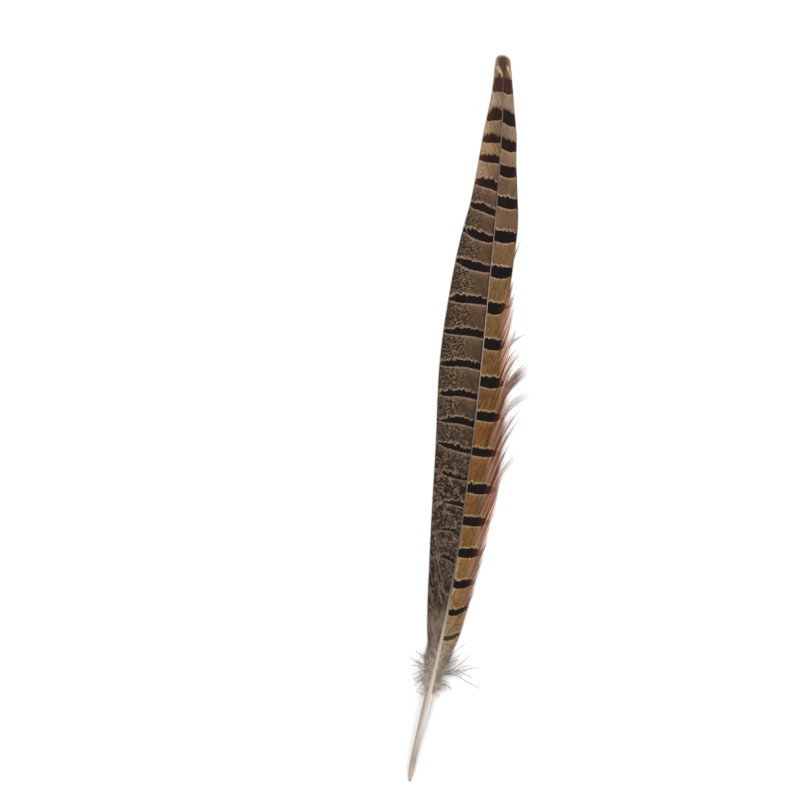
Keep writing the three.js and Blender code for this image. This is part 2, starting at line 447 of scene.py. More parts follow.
def barbStrand(root, side, reach, bars, angleThere, freeLine=None, tone=None, width=0.2, lift=0.0):
    # a barb from the shaft to the vane's edge, and on along its loose end if it has one
    line = barbLine(root, reach, angleThere)
    hookedLength = np.linalg.norm(np.diff(line, axis=0), axis=1).sum()
    if freeLine is not None:
        line = np.concatenate([line, freeLine(line)[1:]])
    line, run = evenly(line, vane["pointStep"])
    station, distance = line.T
    share = distance / np.maximum(vaneEdge(reach, station), 0.5)
    freed = np.clip((run - hookedLength) / max(run[-1] - hookedLength, 0.01), 0, 1)
    loose = 0 * run
    if freeLine is not None:
        loose = np.clip((run - hookedLength) / vane["looseOver"] + 0.5, 0, 1)
    height = vaneUnderside(station, share) + vane["halfThickness"] + rng.normal(0, vane["uneven"])
    height += lift * freed ** 1.5
    centre = np.stack([shaftMiddle(station) + side * distance, station + quillEndY, height], axis=1)
    spacing = vane["rootStep"] * np.clip(np.gradient(distance, run), 0.1, 1)
    # mm over which a barb thins to its end
    endTaper = 6.0 if freeLine is not None else np.interp(root, (44, 55, 268), (3.0, 0.7, 0.3))
    taper = np.clip((run[-1] - run) / endTaper, 0.2, 1) * np.clip(0.5 + run / 1.2, 0, 1)
    wide = (spacing * vane["overlap"] * (1 - loose) + width * loose) * taper
    across = widthWays(centre)
    # a barb leans as the vane does, so no light comes through between two of them
    nearby = 0.01  # share of the vane's width
    slope = vaneUnderside(station, share - nearby) - vaneUnderside(station, share + nearby)
    slope /= 2 * nearby
    lean = slope / np.maximum(vaneEdge(reach, station), 0.5) * abs(across[:, 0]) * wide / 2
    placed, gap = barPlace(bars, station, share, side)
    inMargin = np.append(np.nonzero(share > vane["marginShare"])[0], len(run) - 1)
    atMargin = inMargin[0]
    marginOffset = (placed[atMargin, 0] - round(placed[atMargin, 0])) * gap[atMargin]
    same = np.ones(len(run))
    # a barb's own tone is random, and a given one comes in where the barb has left the shaft
    givenAmount = np.clip((share - 0.35) / 0.15, 0, 1)
    tones = rng.random() * same if tone is None else 0.5 + (tone - 0.5) * givenAmount
    return {
        "centre": centre, "across": across, "width": wide,
        "height": vane["ridge"] * taper, "tilt": (vane["shingle"] + lean) * (1 - loose),
        "values": {
            "place": np.stack([distance, station, share], axis=1),
            "bars": placed,
            "barb": np.stack([run, same * root, tones], axis=1),
            "margin": np.stack([gap, same * marginOffset, run - run[atMargin]], axis=1),
        },
    }


def makeVane(name, material, strands):
    piece = strandMesh(name + "_barbs", strands, 1)
    piece.data.materials.append(material)
    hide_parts(name)
    return piece


# what the barbs' materials share

def featherPlace(material, barbAngle):
    # where a point is on the feather, from the values that the strands carry
    names = {"place": ("distance", "along", "share"), "bars": ("phase", "upper", "lower"),
             "barb": ("run", "root", "tone"), "margin": ("spacing", "marginOffset", "marginRun")}
    at = {}
    for attribute, parts in names.items():
        held = addNode(material, "Attribute", attribute_name=attribute)
        split = addNode(material, "SeparateXYZ", {0: held.outputs["Vector"]})
        at.update(zip(parts, split.outputs))
    # mm square to the barbs, and mm along them from a line that is the same for all of them
    angle = math.radians(barbAngle)
    at["across"] = addNode(material, "Math", {0: at["root"], 1: math.sin(angle)}, operation="MULTIPLY")
    at["ahead"] = addNode(material, "Math", {0: at["root"], 1: math.cos(angle), 2: at["run"]},
                          operation="MULTIPLY_ADD")
    return at


def barShape(material, at, look):
    # Each barb is coloured on its own, so a bar's tipward edge is a row of teeth. Its other edge is
    # nearly smooth. Both have a thin pale line along them.
    bar = addNode(material, "Math", {0: at["phase"]}, operation="ROUND")
    step = addNode(material, "Math", {0: at["phase"], 1: bar}, operation="SUBTRACT")
    offset = addNode(material, "Math", {0: step, 1: at["spacing"]}, operation="MULTIPLY")
    teethPlace = addNode(material, "CombineXYZ", {0: at["root"], 1: bar, 2: at["share"]})
    teethScale = addNode(material, "VectorMath", {0: teethPlace, 1: (1 / look["toothMm"], 7.3, 2.5)},
                         operation="MULTIPLY")
    teeth = addNode(material, "TexNoise", {"Vector": teethScale, "Scale": 1.0, "Detail": 3.0,
                                           "Roughness": 0.65})
    halfJag = look["jagMm"] / 2
    jag = addNode(material, "MapRange", {0: teeth, 1: 0.3, 2: 0.7, 3: -halfJag, 4: halfJag})
    own = addNode(material, "MapRange", {0: at["tone"], 3: -0.15, 4: 0.15})
    ownJag = addNode(material, "Math", {0: jag, 1: own}, operation="ADD")
    upper = addNode(material, "Math", {0: at["upper"], 1: ownJag}, operation="ADD")
    past = addNode(material, "Math", {0: offset, 1: upper}, operation="SUBTRACT")
    short = addNode(material, "Math", {0: offset, 1: at["lower"]}, operation="ADD")
    wobble = addNode(material, "MapRange", {0: teeth, 1: 0.3, 2: 0.7, 3: -0.2, 4: 0.2})
    under = addNode(material, "Math", {0: short, 1: wobble}, operation="ADD")
    inUpper = addNode(material, "MapRange", {0: past, 1: -0.14, 2: 0.14, 3: 1.0, 4: 0.0})
    inLower = addNode(material, "MapRange", {0: under, 1: -0.14, 2: 0.14})
    inside = addNode(material, "Math", {0: inUpper, 1: inLower}, operation="MULTIPLY")
    above = addNode(material, "MapRange", {0: past, 1: 0.25, 2: 0.9, 3: 1.0, 4: 0.0})
    isAbove = addNode(material, "MapRange", {0: past, 1: -0.1, 2: 0.1})
    lineAbove = addNode(material, "Math", {0: above, 1: isAbove}, operation="MULTIPLY")
    below = addNode(material, "MapRange", {0: under, 1: -0.9, 2: -0.2})
    isBelow = addNode(material, "MapRange", {0: under, 1: -0.1, 2: 0.1, 3: 1.0, 4: 0.0})
    lineBelow = addNode(material, "Math", {0: below, 1: isBelow}, operation="MULTIPLY")
    higherUp = addNode(material, "MapRange", {0: at["along"], 1: 170.0, 2: 200.0})
    lineColour = addLayer(material, linear(look["paleLine"]), look["pinkLine"], higherUp)
    nearTip = addNode(material, "MapRange", {0: at["along"], 1: 234.0, 2: 246.0})
    aboveColour = addLayer(material, lineColour, look["brownLine"], nearTip)
    return {"bar": inside, "lineAbove": lineAbove, "lineBelow": lineBelow, "offset": offset,
            "aboveColour": aboveColour, "belowColour": lineColour}


def alongRamp(material, at, stops):
    # colours up the feather, with their places as shares of its length
    part = addNode(material, "Math", {0: at["along"], 1: featherLength}, operation="DIVIDE")
    return addNode(material, "ValToRGB", {0: part}, stops=stops)


def barbTexture(material, at, acrossMm, alongMm, detail=2.0, distortion=0.0):
    # noise that lies square to the barbs, with the sizes of its spots across and along them
    placed = addNode(material, "CombineXYZ", {0: at["across"], 1: at["ahead"]})
    scaled = addNode(material, "VectorMath", {0: placed, 1: (1 / acrossMm, 1 / alongMm, 0)},
                     operation="MULTIPLY")
    return addNode(material, "TexNoise", {"Vector": scaled, "Scale": 1.0, "Detail": detail,
                                          "Distortion": distortion})


def addLayer(material, under, over, *masks):
    # a colour over another, with its masks multiplied together as its strength
    strength = masks[0]
    for mask in masks[1:]:
        strength = addNode(material, "Math", {0: strength, 1: mask}, operation="MULTIPLY")
    over = linear(over) if isinstance(over, str) else over
    return addNode(material, "Mix", {0: strength, 6: under, 7: over}, data_type="RGBA")


def barTone(material, at, look, coreAmount):
    # a bar is deepest in its core, and browner towards the feather's tip
    higherUp = addNode(material, "MapRange", {0: at["along"], 1: 205.0, 2: 260.0})
    last = addNode(material, "MapRange", {0: at["along"], 1: 262.0, 2: 266.0})
    colour = addLayer(material, linear(look["bar"]), look["barCore"], coreAmount)
    colour = addLayer(material, colour, look["tipBar"], higherUp)
    return addLayer(material, colour, look["lastBar"], last)


def tipMarked(material, at, look, colour):
    # The feather's end: a brown cap with a paler rim, and a pale flame on each side of a brown stripe.
    # A flame's inner edge slants by its lean, and it starts higher up the further out it is.
    ragged = barbTexture(material, at, 0.45, 1.8)
    shift = addNode(material, "MapRange", {0: ragged, 1: 0.3, 2: 0.7, 3: -0.7, 4: 0.7})
    ahead = addNode(material, "Math", {0: at["along"], 1: shift}, operation="ADD")
    height = addNode(material, "Math", {0: 276.0, 1: ahead}, operation="SUBTRACT")
    inner = addNode(material, "Math", {0: height, 1: look["flameLean"], 2: look["flameFrom"]},
                    operation="MULTIPLY_ADD")
    past = addNode(material, "Math", {0: at["distance"], 1: inner}, operation="SUBTRACT")
    isOut = addNode(material, "MapRange", {0: past, 1: -0.15, 2: 0.25})
    outSlope = addNode(material, "Math", {0: at["distance"], 1: -look["flameRise"], 2: ahead},
                       operation="MULTIPLY_ADD")
    isAbove = addNode(material, "MapRange", {0: outSlope, 1: 270.6, 2: 271.2})
    isBelow = addNode(material, "MapRange", {0: ahead, 1: 275.0, 2: 275.9, 3: 1.0, 4: 0.0})
    patched = addLayer(material, colour, look["tipPatch"], isOut, isAbove, isBelow)
    rimStart = addNode(material, "MapRange", {0: at["share"], 1: 0.8, 2: 1.0, 4: 0.7})
    rimFrom = addNode(material, "MapRange", {0: at["along"], 1: 262.0, 2: 270.0})
    rimmed = addLayer(material, patched, look["tipRim"], rimStart, rimFrom)
    endRim = addNode(material, "MapRange", {0: ahead, 1: 278.4, 2: 279.8, 4: 0.7})
    return addLayer(material, rimmed, look["tipRim"], endRim)


def finishBarbs(material, at, colour, roughness):
    # each barb a little lighter or darker than the next, and streaks along several barbs
    streak = barbTexture(material, at, 0.6, 9.0, 3.0)
    light = addNode(material, "MapRange", {0: streak, 1: 0.3, 2: 0.7, 3: 0.80, 4: 1.20})
    own = addNode(material, "MapRange", {0: at["tone"], 1: -1.0, 2: 1.0, 3: 0.5, 4: 1.12})
    both = addNode(material, "Math", {0: light, 1: own}, operation="MULTIPLY")
    toned = addNode(material, "VectorMath", {0: colour, 1: both}, operation="MULTIPLY")
    # barbules: a herringbone far finer than the eye sees, drawn three times too coarse
    barbuleMm = 0.12
    weave = addNode(material, "Math", {0: at["run"], 1: 2 * math.pi / barbuleMm},
                    operation="MULTIPLY")
    wave = addNode(material, "Math", {0: weave}, operation="SINE")
    bump = addNode(material, "Bump", {"Height": wave, "Strength": 0.12, "Distance": 0.02 * mm})
    rough = addNode(material, "MapRange", {0: streak, 1: 0.3, 2: 0.7, 3: roughness - 0.08,
                                           4: roughness + 0.1})
    shader = addNode(material, "BsdfPrincipled", {
        "Base Color": toned, "Roughness": rough, "Normal": bump, "Specular IOR Level": 0.1,
        "Sheen Weight": 0.02, "Sheen Roughness": 0.4})
    addNode(material, "OutputMaterial", {"Surface": shader})


innerKeratin = {
    "barbAngle": 24,              # degrees, how the barbs lie in most of the vane
    "ground": [(0.18, "#8C7A6B"), (0.228, "#80705F"), (0.247, "#2C211A"), (0.42, "#433124"),
               (0.58, "#4D3B2B"), (0.80, "#564130"), (0.84, "#866745"), (0.875, "#93734F"),
               (0.90, "#7E634A"), (0.935, "#A8917F"), (0.975, "#5E3B25")],
    "tipEdge": "#C4A888",         # towards the tip the vane is paler outwards
    "tipShaft": "#54412F",        # and darker by the shaft
    "belowBar": "#83664F",        # the ground is paler and pinker under each bar
    "byShaft": "#35271E",         # darker barb bases, with painted shade in the crease beside the shaft
    "reddish": "#66442F",         # soft patches
    "olive": "#5C4B2E",
    "fleck": "#55301E",           # small rusty flecks towards the tip
    "speckle": "#1E1510",
    "paleSpeckle": "#907860",
    "darkMarble": "#241913",
    "paleMarble": "#735D4E",
    "streak": "#776960",          # grey along some barbs at the foot
    "squiggle": "#86705E",
    "margin": "#30271F",
    "bar": "#140E0A",
    "barCore": "#130F10",
    "tipBar": "#2D1713",
    "rustBar": "#54301F",         # the outer ends of the bars near the tip
    "lastBar": "#452926",
    "paleLine": "#A08A6C",
    "pinkLine": "#B0947E",        # the same lines higher up
    "brownLine": "#5A3A22",       # and above the bars near the tip
    "tipPatch": "#C6AB8A",
    "flameFrom": 1.85,            # mm from the shaft
    "flameLean": -0.52,
    "flameRise": 1.1,
    "tipRim": "#A09068",
    "jagMm": 1.7,
    "toothMm": 1.9,
    "roughness": 0.6,
}


def innerBarbs():
    # Brown keratin barbs hooked into a web: satin, with dark bars. Dark and pale speckles grow
    # denser outwards, and lower down the whole vane is marbled.
    look = innerKeratin
    material = newMaterial("speckled keratin barbs")
    at = featherPlace(material, look["barbAngle"])
    shape = barShape(material, at, look)
    colour = alongRamp(material, at, look["ground"])
    underBar = addNode(material, "MapRange", {0: shape["offset"], 1: -5.0, 2: -1.4, 4: 0.6})
    isUnder = addNode(material, "Math", {0: shape["offset"], 1: 0.0}, operation="LESS_THAN")
    midFeather = addNode(material, "MapRange", {0: at["along"], 1: 110.0, 2: 150.0})
    colour = addLayer(material, colour, look["belowBar"], underBar, isUnder, midFeather)
    patches = barbTexture(material, at, 2.6, 3.4, 1.0)
    reddish = addNode(material, "MapRange", {0: patches, 1: 0.5, 2: 0.66, 4: 0.35})
    colour = addLayer(material, colour, look["reddish"], reddish, midFeather)
    olive = addNode(material, "MapRange", {0: patches, 1: 0.5, 2: 0.34, 4: 0.35})
    colour = addLayer(material, colour, look["olive"], olive, midFeather)
    # the barbs' bases darker close to the shaft, with painted shade in the crease beside it
    byShaft = addNode(material, "MapRange", {0: at["distance"], 1: 0.3, 2: 1.1, 3: 0.7, 4: 0.0})
    lowerHalf = addNode(material, "MapRange", {0: at["along"], 1: 215.0, 2: 245.0, 3: 1.0, 4: 0.2})
    aboveFoot = addNode(material, "MapRange", {0: at["along"], 1: 50.0, 2: 76.0})
    colour = addLayer(material, colour, look["byShaft"], byShaft, lowerHalf, aboveFoot)
    tipward = addNode(material, "MapRange", {0: at["along"], 1: 226.0, 2: 234.0})
    paler = addNode(material, "MapRange", {0: at["share"], 1: 0.3, 2: 1.0, 4: 0.75})
    colour = addLayer(material, colour, look["tipEdge"], paler, tipward)
    darker = addNode(material, "MapRange", {0: at["distance"], 1: 0.4, 2: 2.8, 3: 0.45, 4: 0.0})
    colour = addLayer(material, colour, look["tipShaft"], darker, tipward)

    # speckles on the outer half, and lower down on the whole vane
    outer = addNode(material, "MapRange", {0: at["share"], 1: 0.25, 2: 0.65})
    towardsTip = addNode(material, "MapRange", {0: at["along"], 1: 205.0, 2: 238.0, 3: 1.0, 4: 0.2})
    lowDown = addNode(material, "MapRange", {0: at["along"], 1: 152.0, 2: 110.0})
    lowHalf = addNode(material, "Math", {0: lowDown, 1: 0.5}, operation="MULTIPLY")
    widely = addNode(material, "Math", {0: outer, 1: lowHalf}, operation="MAXIMUM")
    fewer = addNode(material, "MapRange", {0: at["along"], 1: 80.0, 2: 112.0, 3: 0.2, 4: 1.0})
    allOver = addNode(material, "Math", {0: widely, 1: fewer}, operation="MULTIPLY")
    spots = barbTexture(material, at, 0.75, 0.62, 2.5, 0.5)
    dark = addNode(material, "MapRange", {0: spots, 1: 0.51, 2: 0.57})
    colour = addLayer(material, colour, look["speckle"], dark, allOver, towardsTip)
    pale = addNode(material, "MapRange", {0: spots, 1: 0.47, 2: 0.41, 4: 0.9})
    colour = addLayer(material, colour, look["paleSpeckle"], pale, allOver, towardsTip)
    upperHalf = addNode(material, "MapRange", {0: at["along"], 1: 200.0, 2: 232.0, 4: 0.4})
    fleck = addNode(material, "MapRange", {0: spots, 1: 0.53, 2: 0.62})
    colour = addLayer(material, colour, look["fleck"], fleck, outer, upperHalf)
    edge = addNode(material, "MapRange", {0: at["share"], 1: 0.6, 2: 0.95, 4: 0.5})
    belowTip = addNode(material, "MapRange", {0: at["along"], 1: 205.0, 2: 235.0, 3: 1.0, 4: 0.0})
    colour = addLayer(material, colour, look["margin"], edge, belowTip)

    # marbling, which turns to streaks along the barbs at the foot
    swirls = barbTexture(material, at, 1.4, 2.0, 3.0, 1.2)
    stripes = barbTexture(material, at, 0.5, 4.0, 2.0, 0.6)
    foot = addNode(material, "MapRange", {0: at["along"], 1: 112.0, 2: 82.0})
    marble = addNode(material, "Mix", {0: foot, 2: swirls, 3: stripes})
    faint = addNode(material, "MapRange", {0: at["along"], 1: 62.0, 2: 98.0, 3: 0.45, 4: 1.0})
    marbled = addNode(material, "Math", {0: lowDown, 1: faint}, operation="MULTIPLY")
    darkMarble = addNode(material, "MapRange", {0: marble, 1: 0.46, 2: 0.55, 4: 0.9})
    colour = addLayer(material, colour, look["darkMarble"], darkMarble, marbled)
    paleMarble = addNode(material, "MapRange", {0: marble, 1: 0.46, 2: 0.38, 4: 0.9})
    colour = addLayer(material, colour, look["paleMarble"], paleMarble, marbled)
    # wavy lines that wander about the bars' own direction
    wander = barbTexture(material, at, 2.4, 3.2, 2.0)
    level = addNode(material, "Math", {0: at["phase"], 1: 13.0}, operation="MULTIPLY")
    wandering = addNode(material, "Math", {0: wander, 1: 22.0, 2: level}, operation="MULTIPLY_ADD")
    wave = addNode(material, "Math", {0: wandering}, operation="SINE")
    crest = addNode(material, "MapRange", {0: wave, 1: 0.45, 2: 0.85, 4: 0.8})
    inPatch = addNode(material, "MapRange", {0: patches, 1: 0.42, 2: 0.56})
    colour = addLayer(material, colour, look["darkMarble"], crest, inPatch, marbled)
    trough = addNode(material, "MapRange", {0: wave, 1: -0.6, 2: -0.9, 4: 0.7})
    colour = addLayer(material, colour, look["squiggle"], trough, inPatch, marbled)
    streaks = barbTexture(material, at, 0.8, 12.0, 1.0)
    streak = addNode(material, "MapRange", {0: streaks, 1: 0.48, 2: 0.62, 4: 0.42})
    colour = addLayer(material, colour, look["streak"], streak, foot)

    strongLine = addNode(material, "MapRange", {0: at["along"], 1: 95.0, 2: 150.0, 3: 0.35, 4: 0.85})
    nearEdge = addNode(material, "MapRange", {0: at["share"], 1: 0.0, 2: 0.35, 3: 0.45, 4: 1.0})
    lineFades = addNode(material, "MapRange", {0: at["along"], 1: 225.0, 2: 250.0, 3: 1.0, 4: 0.4})
    colour = addLayer(material, colour, shape["aboveColour"], shape["lineAbove"], strongLine, nearEdge)
    colour = addLayer(material, colour, shape["belowColour"], shape["lineBelow"], strongLine, 0.7,
                      lineFades)

    # the bars break up towards the margin, and lower down they are only broken patches
    barEdge = addNode(material, "MapRange", {0: at["share"], 1: 0.78, 2: 1.0})
    veryLow = addNode(material, "MapRange", {0: at["along"], 1: 125.0, 2: 85.0, 4: 0.85})
    frayed = addNode(material, "Math", {0: barEdge, 1: belowTip}, operation="MULTIPLY")
    broken = addNode(material, "Math", {0: frayed, 1: veryLow}, operation="MAXIMUM")
    gaps = addNode(material, "MapRange", {0: marble, 1: 0.50, 2: 0.56})
    lost = addNode(material, "Math", {0: gaps, 1: broken}, operation="MULTIPLY")
    whole = addNode(material, "Math", {0: 1.0, 1: lost}, operation="SUBTRACT")
    coreAmount = addNode(material, "MapRange", {0: at["share"], 1: 0.1, 2: 0.4, 4: 0.8})
    barColour = barTone(material, at, look, coreAmount)
    upperBars = addNode(material, "MapRange", {0: at["along"], 1: 222.0, 2: 236.0, 4: 0.75})
    outward = addNode(material, "MapRange", {0: at["share"], 1: 0.5, 2: 0.95})
    barColour = addLayer(material, barColour, look["rustBar"], outward, upperBars)
    colour = addLayer(material, colour, barColour, shape["bar"], whole)
    finishBarbs(material, at, tipMarked(material, at, look, colour), look["roughness"])
    return material


outerKeratin = {
    "barbAngle": 14.5,
    "ground": [(0.195, "#9A846B"), (0.235, "#95744A"), (0.33, "#805730"), (0.48, "#7C4A26"),
               (0.54, "#6D4627"), (0.65, "#80603E"), (0.75, "#775D40"), (0.82, "#6B5740"),
               (0.865, "#866C4D"), (0.90, "#7F6C58"), (0.935, "#8C7A67"), (0.975, "#5E3B25")],
    "rust": "#753F1C",            # richer above each bar
    "buff": "#946C45",            # paler below each bar
    "ochre": "#7E6230",           # and in soft blotches
    "byShaft": "#BCA58C",         # a pale line beside the shaft, at the foot
    "dusk": "#4E321E",            # small darker blotches
    "bar": "#140E0B",
    "barCore": "#110E0E",
    "tipBar": "#271713",
    "lastBar": "#452926",
    "lowestBar": "#483324",       # the bar nearest the down is a paler brown
    "maroon": "#4C2019",          # where a bar runs out along the margin's barbs
    "redBarb": "#74352A",         # and further out
    "tipEdge": "#C4A888",         # towards the tip the vane is a little paler outwards
    "footEdge": "#A87C4C",        # and towards the foot
    "margin": "#A46C58",          # loose barbs: dusty rust-pink
    "marginInner": "#9E7860",
    "marginPale": "#DAB09A",
    # the loose tips' own pale pink, with painted light shining through the thin barbs
    "looseTip": "#E4B9A5",
    "creamBarb": "#F0DAC8",       # single barbs in the fringe that caught no red
    "wisp": "#8A5546",            # the barbs that stand out
    "wispTip": "#5C4038",
    "paleLine": "#B5A074",
    "pinkLine": "#C3A892",
    "brownLine": "#644A30",
    "tipPatch": "#C6AB8A",
    "flameFrom": 0.95,            # mm from the shaft
    "flameLean": 0.42,
    "flameRise": 0.0,
    "tipRim": "#8C7A4C",
    "jagMm": 1.2,
    "toothMm": 2.6,
    "roughness": 0.56,
}


def outerBarbs():
    # Tan keratin barbs: satin, with black bars that end in maroon, and a rust-pink margin where the
    # barbs are loose and a little see-through; their paler tips carry painted light shining through
    # them.
    look = outerKeratin
    material = newMaterial("tan keratin barbs")
    at = featherPlace(material, look["barbAngle"])
    shape = barShape(material, at, look)
    colour = alongRamp(material, at, look["ground"])
    belowTip = addNode(material, "MapRange", {0: at["along"], 1: 195.0, 2: 225.0, 3: 1.0, 4: 0.2})
    aboveDown = addNode(material, "MapRange", {0: at["along"], 1: 55.0, 2: 72.0})
    middle = addNode(material, "Math", {0: belowTip, 1: aboveDown}, operation="MULTIPLY")
    buffAmount = addNode(material, "MapRange", {0: shape["offset"], 1: -5.0, 2: -1.6, 4: 0.6})
    isUnder = addNode(material, "Math", {0: shape["offset"], 1: 0.0}, operation="LESS_THAN")
    colour = addLayer(material, colour, look["buff"], buffAmount, isUnder, middle)
    rustAmount = addNode(material, "MapRange", {0: shape["offset"], 1: 1.6, 2: 6.0, 3: 0.7, 4: 0.0})
    isOver = addNode(material, "Math", {0: shape["offset"], 1: 0.0}, operation="GREATER_THAN")
    colour = addLayer(material, colour, look["rust"], rustAmount, isOver, middle)
    byShaft = addNode(material, "MapRange", {0: at["distance"], 1: 0.6, 2: 1.5, 3: 0.6, 4: 0.0})
    lowDown = addNode(material, "MapRange", {0: at["along"], 1: 100.0, 2: 84.0})
    colour = addLayer(material, colour, look["byShaft"], byShaft, lowDown, aboveDown)
    blotches = barbTexture(material, at, 1.8, 4.5, 2.0)
    blotch = addNode(material, "MapRange", {0: blotches, 1: 0.48, 2: 0.62, 4: 0.6})
    colour = addLayer(material, colour, look["ochre"], blotch, middle)
    tipward = addNode(material, "MapRange", {0: at["along"], 1: 232.0, 2: 242.0, 4: 0.35})
    paler = addNode(material, "MapRange", {0: at["share"], 1: 0.2, 2: 0.9})
    colour = addLayer(material, colour, look["tipEdge"], paler, tipward)
    footward = addNode(material, "MapRange", {0: at["along"], 1: 105.0, 2: 85.0, 4: 0.4})
    colour = addLayer(material, colour, look["footEdge"], paler, footward, aboveDown)
    mottle = barbTexture(material, at, 0.9, 1.3, 2.0, 0.5)
    mottled = addNode(material, "MapRange", {0: mottle, 1: 0.5, 2: 0.62, 4: 0.5})
    colour = addLayer(material, colour, look["dusk"], mottled, belowTip)

    upperEnd = addNode(material, "MapRange", {0: at["along"], 1: 179.0, 2: 192.0, 3: 1.0, 4: 0.04})
    lowerEnd = addNode(material, "MapRange", {0: at["along"], 1: 60.0, 2: 88.0})
    fringed = addNode(material, "Math", {0: upperEnd, 1: lowerEnd}, operation="MULTIPLY")
    locks = barbTexture(material, at, 0.7, 14.0, 2.0)
    start = addNode(material, "MapRange", {0: locks, 1: 0.3, 2: 0.7, 3: -0.08, 4: 0.08})
    ragged = addNode(material, "Math", {0: at["share"], 1: start}, operation="ADD")
    rising = addNode(material, "MapRange", {0: at["along"], 1: 125.0, 2: 155.0, 4: 0.27})
    falling = addNode(material, "MapRange", {0: at["along"], 1: 173.0, 2: 183.0, 3: 1.0, 4: 0.2})
    narrower = addNode(material, "Math", {0: rising, 1: falling}, operation="MULTIPLY")
    outward = addNode(material, "Math", {0: ragged, 1: narrower}, operation="SUBTRACT")
    innerAmount = addNode(material, "MapRange", {0: outward, 1: 0.5, 2: 0.7, 4: 0.8})
    colour = addLayer(material, colour, look["marginInner"], innerAmount, fringed)
    marginAmount = addNode(material, "MapRange", {0: outward, 1: 0.74, 2: 0.95})
    paleLock = addNode(material, "MapRange", {0: locks, 1: 0.50, 2: 0.62, 4: 0.9})
    furtherOut = addNode(material, "MapRange", {0: at["share"], 1: 0.75, 2: 1.1, 3: 0.35, 4: 1.0})
    marginTone = addLayer(material, linear(look["margin"]), look["marginPale"], paleLock, furtherOut)
    isDark = addNode(material, "MapRange", {0: at["tone"], 1: 0.2, 2: -0.3})
    marginTone = addLayer(material, marginTone, look["wisp"], isDark)
    colour = addLayer(material, colour, marginTone, marginAmount, fringed)

    inward = addNode(material, "MapRange", {0: at["share"], 1: 0.7, 2: 0.95, 3: 1.0, 4: 0.2})
    lineFades = addNode(material, "MapRange", {0: at["along"], 1: 235.0, 2: 252.0, 3: 1.0, 4: 0.75})
    colour = addLayer(material, colour, shape["aboveColour"], shape["lineAbove"], inward, 0.8)
    colour = addLayer(material, colour, shape["belowColour"], shape["lineBelow"], inward, 0.5,
                      lineFades)

    # maroon follows the barbs out from each bar's end
    aside = addNode(material, "Math", {0: at["marginOffset"]}, operation="ABSOLUTE")
    onBar = addNode(material, "MapRange", {0: aside, 1: 1.3, 2: 2.0, 3: 1.0, 4: 0.0})
    fadeIn = addNode(material, "MapRange", {0: at["marginRun"], 1: -4.0, 2: -1.0})
    fadeOut = addNode(material, "MapRange", {0: at["marginRun"], 1: 2.5, 2: 12.0, 3: 0.95, 4: 0.0})
    colour = addLayer(material, colour, look["redBarb"], onBar, fadeIn, fadeOut, fringed)

    endShare = addNode(material, "Math", {0: narrower, 1: -0.5, 2: at["share"]},
                       operation="MULTIPLY_ADD")
    endAmount = addNode(material, "MapRange", {0: endShare, 1: 0.58, 2: 0.74})
    deep = addNode(material, "Math", {0: shape["offset"]}, operation="ABSOLUTE")
    coreAmount = addNode(material, "MapRange", {0: deep, 1: 0.3, 2: 1.5, 3: 0.7, 4: 0.0})
    barColour = barTone(material, at, look, coreAmount)
    barColour = addLayer(material, barColour, look["maroon"], endAmount, fringed)
    lowest = addNode(material, "MapRange", {0: at["along"], 1: 63.0, 2: 60.0, 4: 0.85})
    barColour = addLayer(material, barColour, look["lowestBar"], lowest)
    thin = addNode(material, "MapRange", {0: endShare, 1: 0.76, 2: 1.04})
    lost = addNode(material, "Math", {0: thin, 1: fringed}, operation="MULTIPLY")
    whole = addNode(material, "Math", {0: 1.0, 1: lost}, operation="SUBTRACT")
    colour = addLayer(material, colour, barColour, shape["bar"], whole)

    # pale loose tips: their own pink plus painted light shining through them
    tipAmount = addNode(material, "MapRange", {0: at["share"], 1: 0.98, 2: 1.25, 4: 0.85})
    notDark = addNode(material, "MapRange", {0: at["tone"], 1: -0.3, 2: 0.4, 3: 0.25, 4: 1.0})
    colour = addLayer(material, colour, look["looseTip"], tipAmount, notDark, fringed)
    isPale = addNode(material, "MapRange", {0: at["tone"], 1: 0.74, 2: 0.8})
    paleFrom = addNode(material, "MapRange", {0: at["share"], 1: 0.82, 2: 1.05, 4: 0.65})
    colour = addLayer(material, colour, look["creamBarb"], isPale, paleFrom, fringed)
    farOut = addNode(material, "MapRange", {0: at["share"], 1: 1.4, 2: 1.8, 4: 0.85})
    standsOut = addNode(material, "MapRange", {0: at["tone"], 1: 0.3, 2: 0.0})
    colour = addLayer(material, colour, look["wispTip"], farOut, standsOut)
    finishBarbs(material, at, tipMarked(material, at, look, colour), look["roughness"])
    return material


def makeInnerVane():
    roots, angles = barbRoots(innerAngle, vane["innerWander"])
    # below the split the barbs turn outwards, and above it towards the tip, so it opens
    toSplit = vane["splitAt"] - roots
    away = np.exp(-abs(toSplit) / vane["splitOver"]) * vane["splitOpens"] / 2
    angles += np.where(toSplit > 0, away, -away)
    strands = [barbStrand(root, -1, innerReach, innerBars, angle) for root, angle in zip(roots, angles)]
    return makeVane("inner_vane", innerBarbs(), strands)


